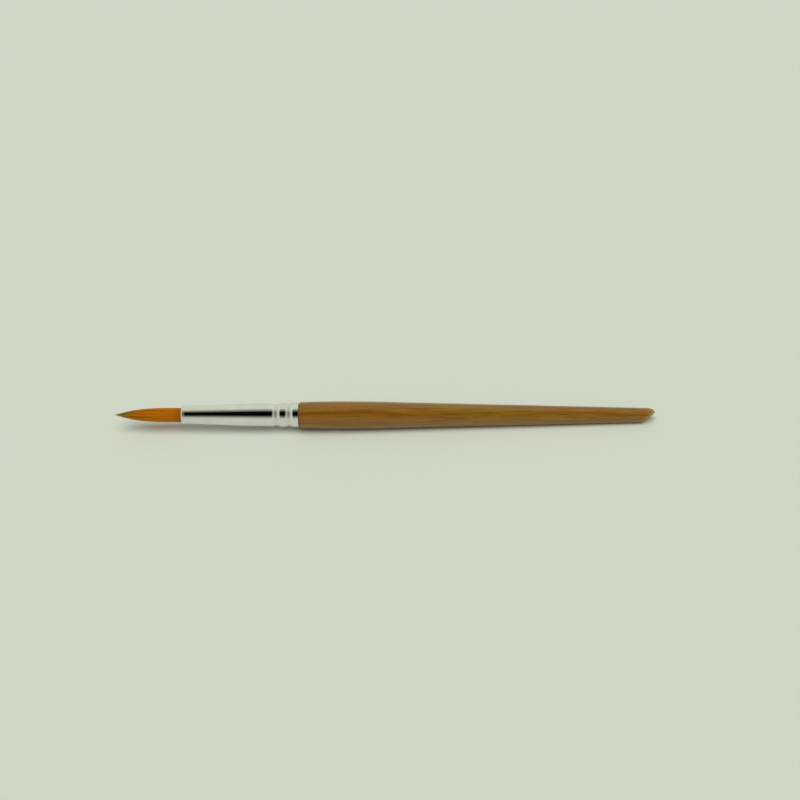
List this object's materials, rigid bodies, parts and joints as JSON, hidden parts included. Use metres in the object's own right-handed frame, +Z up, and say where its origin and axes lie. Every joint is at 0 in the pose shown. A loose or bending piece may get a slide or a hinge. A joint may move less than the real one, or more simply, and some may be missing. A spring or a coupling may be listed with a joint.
{
  "type": "round artist's paint brush",
  "caption": "Round artist's brush with a turned wooden handle, a crimped silvery ferrule and a pointed golden synthetic tuft.",
  "frame": {"origin": "on the surface that the brush lies on, under the middle of its overall length and width", "axes": "+X runs from the tip of the hair to the handle's end, +Z is up, and +Y completes the frame; the brush lies in its natural pose, so its own axis dips by 1.34 degrees towards +X"},
  "size_m": [0.1798, 0.009, 0.0093],
  "materials": {
    "varnished_wood": "satin",
    "polished_metal": "polished",
    "golden_filament": "satin",
    "glued_filament": "satin",
    "tie_thread": "matte",
    "hard_glue": "gloss"
  },
  "bodies": {
    "brush": {"handle": "varnished_wood", "ferrule": "polished_metal", "hair_root": "glued_filament", "binding_thread": "tie_thread", "glue_plug": "hard_glue"},
    "tuft": {"hair_tuft": "golden_filament"}
  },
  "joints": [
    {"name": "tuft_flex", "type": "hinge", "parent": "brush", "child": "tuft", "pos_m": [-0.06735, 0, 0.00592], "axis": [0.0233, 0, 0.9997], "range_deg": [-35, 35], "stiffness_Nm_per_rad": 0.004}
  ]
}
